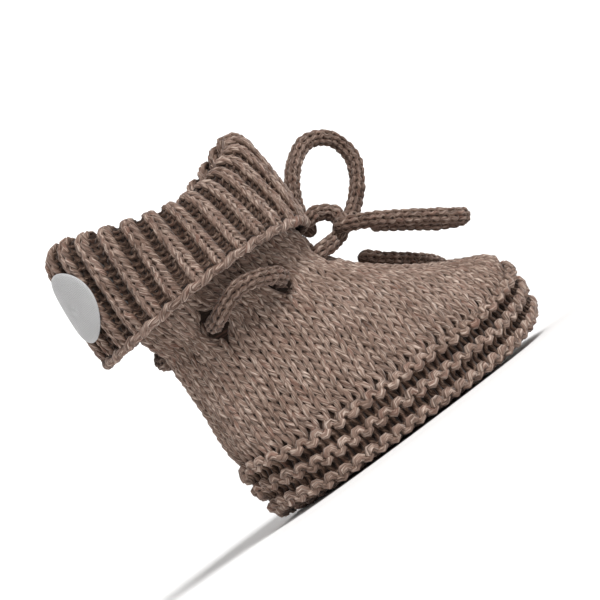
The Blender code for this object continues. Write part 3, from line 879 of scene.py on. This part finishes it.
def tuck(rings, heights):
    """Draw the wall in at the ankle: along each crease by a bell across it times a bell up and down it, all
    round by a narrow bell at the eyelets, along the back by the seam's groove, with a slow waviness."""
    u = np.arange(RING_STEPS) / RING_STEPS
    tangent = np.roll(rings, -1, axis=1) - np.roll(rings, 1, axis=1)
    outward = unit(np.stack((tangent[..., 1], -tangent[..., 0], 0 * tangent[..., 0]), axis=-1))
    girth = girth_of(rings)[:, None]
    z = np.asarray(heights)[:, None]
    ankle = z - EYELET_HEIGHT
    depth = 0.9 * np.exp(-(ankle / 2.8) ** 2) + 0 * u
    for angle, deep, wide, reach in CREASES:
        gap = np.mod(u - share_round(angle) + 0.5, 1.0) - 0.5
        depth = depth + deep * np.exp(-(gap * girth / wide) ** 2) * np.exp(-(ankle / reach) ** 2)
    depth = depth + 0.7 * np.exp(-((u - 0.5) * girth / 1.5) ** 2) * np.clip(z / 4, 0, 1)
    depth = depth + 0.22 * np.sin(2 * np.pi * 7 * u + 0.19 * z + 1.0) * np.sin(0.21 * z + 4 * np.pi * u)
    return rings - outward * depth[..., None]


def wall_cloth():
    """The upper's outer face from under the hem, round it and up to the collar."""
    hem = np.array(((0.70, 3.1), (0.54, 2.3), (0.58, 1.4), (0.84, 0.6), (1.24, 0.2), (1.8, 0.0)))
    heights = np.concatenate((hem[:, 0], np.arange(2.4, COLLAR_HEIGHT, 0.6), [COLLAR_HEIGHT]))
    insets = np.concatenate((hem[:, 1], np.zeros(len(heights) - len(hem))))
    above = heights - BAND_HEIGHT
    groove = 0.5 * np.exp(-((above - 0.6) / 1.1) ** 2)
    groove = groove + np.where(heights < BAND_HEIGHT, 0.35, 0.35 * np.exp(-(above / 2) ** 2))
    return Cloth(tuck(upper_rings(heights, insets + groove, relief=1.8), heights)), heights


WALL_CLOTH, WALL_HEIGHTS = wall_cloth()
YARN_IN = 1.15
LEG_TOP = COLLAR_HEIGHT - 12.0
LEG_LOW = EYELET_HEIGHT - 2.0
HEM_RINGS = 5
PANEL_HALF = 13.0


def ring_at(height):
    """The ring number of the wall's cloth at a height, counted above the hem."""
    return np.interp(height, WALL_HEIGHTS[HEM_RINGS:], np.arange(HEM_RINGS, len(WALL_HEIGHTS)))


def read_at(v, column):
    """The value of a column at a row number that may lie between two rows."""
    return np.interp(v, np.arange(len(column)), column)


def row_of(value, column):
    """The row number at which a rising column has a value."""
    return np.interp(value, column, np.arange(len(column)))


def lay(cloth, v, u, off):
    """Place a course: the cloth's point, moved off along its direction."""
    point, normal = cloth.at(v, u)
    return point + normal * (off - YARN_IN)[:, None], normal


def parted(v, u, off, closed, raised=0.0):
    """A course of the upper that gives way to the eyelets."""
    path, normal = lay(WALL_CLOTH, v, u, off + raised)
    return open_eyelets(path), normal, off, closed


def band():
    """Garter ridges: closed courses of all knit and all purl by turns, three ridges round the sole."""
    stitches = 58
    side = WALL_CLOTH.rise(0.25)
    start = side[2]
    pitch = (read_at(ring_at(BAND_HEIGHT), side) - start) / (2 * BAND_RIDGES)
    yarns = []
    for j in range(2 * BAND_RIDGES):
        knit = j % 2 == 0
        kinds = np.full(stitches, 1 if knit else -1)
        legs = 0.0 if knit else 0.9
        across, rows, off = loops(kinds, -kinds, True, loop=0.93, lean=0.17, legs=legs)
        along = start + (j + 0.5 + rows + smooth_wobble(len(rows), 0.05)) * pitch
        v = row_of(along, side)
        path, normal = lay(WALL_CLOTH, v, across / stitches, off)
        valley = 0.5 * (BAND_RIDGE_HEIGHT - ridge(read_at(v, WALL_HEIGHTS)))
        # the level is set lower in the valleys between the ridges, so that painted shade darkens them
        yarns.append((path, normal, off - 1.2 * valley, True))
    dress(yarn_piece("band_ridges", yarns, yarn_wool, radius=0.92, swell=0.38), "upper_wool", "upper")


def sides():
    """Stockinette round the heel and sides: open courses from the back seam, both ways to the instep."""
    stitch, pitch = 3.62, 2.72
    yarns = []
    rows_up = int((LEG_LOW - BAND_HEIGHT) / pitch)
    for j in range(rows_up + 1):
        height = BAND_HEIGHT + (j + 0.45) * pitch
        girth = read_at(ring_at(height), WALL_CLOTH.girth)
        half = int(round((0.5 * girth - PANEL_HALF) / stitch))
        kinds = np.ones(2 * half, int)
        across, rows, off = loops(kinds, kinds, False, first=-half)
        z = height + (rows + smooth_wobble(len(rows), 0.07)) * pitch
        girths = read_at(ring_at(z), WALL_CLOTH.girth)
        yarns.append(parted(ring_at(z), 0.5 + across * stitch / girths, off, False))
    dress(yarn_piece("side_stockinette", yarns, yarn_wool), "upper_wool", "upper")


def instep():
    """The instep flap: short courses across the front, evenly spaced up its slope from toe to ankle."""
    wales, pitch, raised = 8, 2.75, 0.25
    width = 2 * (PANEL_HALF + 0.9)
    slope = WALL_CLOTH.rise(0.0)
    low = read_at(ring_at(BAND_HEIGHT + 0.8), slope)
    high = read_at(ring_at(EYELET_HEIGHT - 1.0), slope)
    count = int((high - low) / pitch)
    yarns = []
    for j in range(count + 1):
        kinds = np.ones(wales, int)
        across, rows, off = loops(kinds, kinds, False, first=-wales // 2)
        along = low + (j + 0.4 + rows + smooth_wobble(len(rows), 0.05)) * pitch
        v = row_of(along, slope)
        girths = read_at(v, WALL_CLOTH.girth)
        yarns.append(parted(v, across * width / wales / girths, off, False, raised))
    dress(yarn_piece("instep_stockinette", yarns, yarn_wool), "upper_wool", "upper")


def leg():
    """Stockinette from the ankle up under the cuff: closed courses, drawn in at the eyelets."""
    stitches, pitch = 42, 2.72
    yarns = []
    low = LEG_LOW + 0.2
    for j in range(int((LEG_TOP - low) / pitch) + 1):
        kinds = np.ones(stitches, int)
        across, rows, off = loops(kinds, kinds, True)
        z = low + (j + 0.45 + rows + smooth_wobble(len(rows), 0.06)) * pitch
        yarns.append(parted(ring_at(z), 0.5 + across / stitches, off, True))
    dress(yarn_piece("leg_stockinette", yarns, yarn_wool), "upper_wool", "upper")


def upper_shade_felt():
    """A thin closed shell of felt in the middle of the yarn, painted near black so that the gaps are dark
    from both sides: painted shade.
    """
    heights = np.concatenate(([1.9], np.arange(3.2, LEG_TOP, 1.6), [LEG_TOP]))
    outer, inner = (tuck(upper_rings(heights, np.full(len(heights), inset), relief=0.6), heights)[:, ::4]
                    for inset in (1.45, 1.80))
    shell = np.vstack((outer, inner[::-1]))
    dress(grid_piece("upper_shade_felt", shell, shade_felt, (44, 60), close_v=True), "upper_wool", "upper")


band()
sides()
instep()
leg()
upper_shade_felt()


# the cuff

CUFF_ROWS = 150


def cuff_rings():
    """Rings of the cuff's cloth: up inside the collar, over the fold, down the outside, round the free edge
    and a little way up inside."""
    back0, front0, half0 = extent(section_at(COLLAR_HEIGHT), 0.0)
    drop, lap, back, front, flare, saddle, rise = CUFF_SECTIONS.T
    over = GAP + 0.5 * CUFF_THICK
    half_thick = 0.5 * CUFF_THICK
    z = COLLAR_HEIGHT + over + rise - drop * (CUFF_HEIGHT + over)
    mid = np.column_stack((
        z, back0 - lap * WALL - back * CUFF_STAND, front0 + lap * WALL + front * CUFF_STAND,
        half0 + lap * WALL + flare * CUFF_FLARE, saddle))
    # profile at the back, to push rows out to the outer face
    dz = np.gradient(mid[:, 0])
    dx = -np.gradient(mid[:, 1])
    long = np.hypot(dz, dx)
    up, out = dx / long * half_thick, -dz / long * half_thick
    outer = mid.copy()
    outer[:, 0] += up
    outer[:, 1] -= out
    outer[:, 2] += out
    outer[:, 3] += out
    inside = []
    for depth in (15.0, 12.0, 9.0, 6.0, 3.0, 1.0):
        row = section_at(COLLAR_HEIGHT - depth)
        inside.append((COLLAR_HEIGHT - depth, *extent(row, -WALL), row[6]))
    last = outer[-1]
    under = []
    for up, in_ in ((-0.9, 0.3), (-1.3, 1.3), (-0.9, 2.3), (0.4, 2.7), (3.0, 2.8), (6.0, 3.2), (9.5, 3.8),
                    (13.0, 4.6)):
        under.append((last[0] + up, last[1] + in_, last[2] - in_, last[3] - in_ * (1.0 + 0.09 * max(0, up)),
                      last[4] + 0.02 * max(0.0, up)))
    return np.array(inside), outer, np.array(under)


def cuff_cloth():
    """The cuff's cloth, the rows at the fold and at the free edge, and its length from end to end."""
    inside, outer, under = cuff_rings()
    rows = np.vstack((inside, outer[1:], under))
    run = np.concatenate(([0], np.cumsum(np.hypot(np.diff(rows[:, 0]), np.diff(rows[:, 1])))))
    fine = np.linspace(0, run[-1], CUFF_ROWS)
    table = smooth_columns(np.column_stack((run, rows)), fine)
    rings = []
    for z, back, front, half, saddle in table:
        x, y = oval(back, front, half, 1.0, 0.0, RING_STEPS)
        rings.append(np.stack((x, y, z - COLLAR_SADDLE * saddle * (y / half) ** 2), axis=1))
    marks = np.interp(run[[len(inside), len(inside) + len(outer) - 1]], fine, np.arange(CUFF_ROWS))
    # the rings run up inside, over and down outside: reversed, so that the outward side is the right side
    return Cloth(np.array(rings)[::-1]), CUFF_ROWS - 1 - marks, run[-1]


def edge_chain(cloth, place, step):
    """The cast off edge: a chain of links along the free edge. Each link is a flat ring that leans, so that
    its far end lies under the next: length cos t along the edge, width sin t across it, height minus cos t.
    The edge waves out at each knit rib, by a cosine."""
    links = 56
    t = 2 * np.pi * np.arange(12) / 12
    yarns = []
    for k in range(links):
        shift = RNG.normal(0, 0.08, 3)
        u = (k + shift[0] + 0.98 * np.cos(t)) / links
        v = place + ((1.05 + 0.1 * shift[1]) * np.sin(t) - 0.5 * np.cos(np.pi * u * links)) / step
        point, normal = cloth.at(v, u)
        off = 0.42 - 0.45 * np.cos(t) + 0.5 * shift[2]
        # its level is set a little lower than the link lies, for a touch more painted shade
        yarns.append((point + normal * (off - YARN_IN)[:, None], normal, off - 0.1, True))
    dress(yarn_piece("cuff_cast_off", yarns, cuff_wool, radius=0.84, swell=0.0), "cuff_wool", "cuff")


def rib_relief(wale, reach):
    """Height of the rib off the cuff's face: a cosine, highest at the even wales, the knit ones. It is low at
    the cast off edge and grows over the first millimetres of the reach from it."""
    grow = np.clip((reach - 1.0) / 6.0, 0, 1)
    return (0.30 + 0.60 * grow * grow * (3 - 2 * grow)) * np.cos(np.pi * wale) - 0.45


def cuff():
    """Single rib: knit and purl wales take turns. The knit wales stand up as ribs and crowd the purl wales
    down between them: off the cloth by a cosine of the wale, and sideways by a sine."""
    cloth, marks, total = cuff_cloth()
    edge_chain(cloth, marks[1], total / (CUFF_ROWS - 1))
    stitches, pitch, crowd = 2 * CUFF_RIBS, 2.62, 0.075
    lengths = np.linspace(0, total, CUFF_ROWS)
    fold, rim = read_at(marks, lengths)
    count = int((total - rim) / pitch)
    kinds = np.where(np.arange(stitches) % 2 == 0, 1, -1)
    outside, inside = [], []
    for j in range(-1, count):
        across, rows, off = loops(kinds, kinds, True, depth=0.42, lean=0.25)
        centre = rim + (j + 0.5) * pitch
        along = centre - (rows + smooth_wobble(len(rows), 0.05)) * pitch
        v = row_of(along, lengths)
        wale = across - 0.5
        relief = rib_relief(wale, along - rim)
        path, normal = lay(cloth, v, (wale + crowd * np.sin(np.pi * wale)) / stitches, off + relief)
        target = inside if centre > fold + 1.0 else outside
        # the level follows the rib only in part and lies lower, so that painted shade darkens the purl wales
        # between the ribs
        target.append((path, normal, off + 0.45 * (relief - 0.45), True))
    for name, yarns in (("cuff_rib_outside", outside), ("cuff_rib_inside", inside)):
        dress(yarn_piece(name, yarns, cuff_wool), "cuff_wool", "cuff")
    # a shell of felt painted near black under the rib: painted shade in its gaps
    low = int(marks[1]) + 1
    rows = slice(low, CUFF_ROWS - 1, 2)
    points, normals = cloth.points[rows, ::2], cloth.normals[rows, ::2]
    wale = np.arange(points.shape[1])[None, :] / points.shape[1] * stitches
    swell = rib_relief(wale, (lengths[rows] - rim)[:, None])[..., None] - YARN_IN
    outer = points + normals * (swell - 0.30)
    inner = (points + normals * (swell - 0.60))[::-1]
    shell = np.vstack((outer, inner))
    dress(grid_piece("cuff_shade_felt", shell, shade_felt, (56, 30), close_v=True), "cuff_wool", "cuff")


cuff()


def label():
    """A plain round woven label, bent round the back of the cuff: rings of a disc laid on the cuff's face."""
    face = cuff_rings()[1][2:]
    face = face[np.argsort(face[:, 0])]
    height = COLLAR_HEIGHT - LABEL_DROP
    turn = np.linspace(0, 2 * np.pi, 72, endpoint=False)
    shells = []
    for radius, stand in ((0.001, 0.6), (0.3, 0.6), (0.6, 0.6), (0.86, 0.58), (0.95, 0.52), (0.985, 0.4),
                          (1.0, 0.2), (0.98, 0.05), (0.5, 0.0), (0.001, 0.0)):
        across = 0.5 * LABEL_D * radius * np.cos(turn)
        z = height + 0.5 * LABEL_D * radius * np.sin(turn)
        row = smooth_columns(face, z)
        reach = 0.5 * (row[:, 1] - row[:, 0])
        lift = stand + LABEL_STAND
        bend = reach * (1 - np.sqrt(1 - (across / (row[:, 2] + lift)) ** 2))
        shells.append(np.stack((row[:, 0] - lift + bend, across, z), axis=1))
    piece = grid_piece("label_disc", np.array(shells), satin, (1, 1), close_v=True)
    dress(piece, "label_satin", "label")


label()
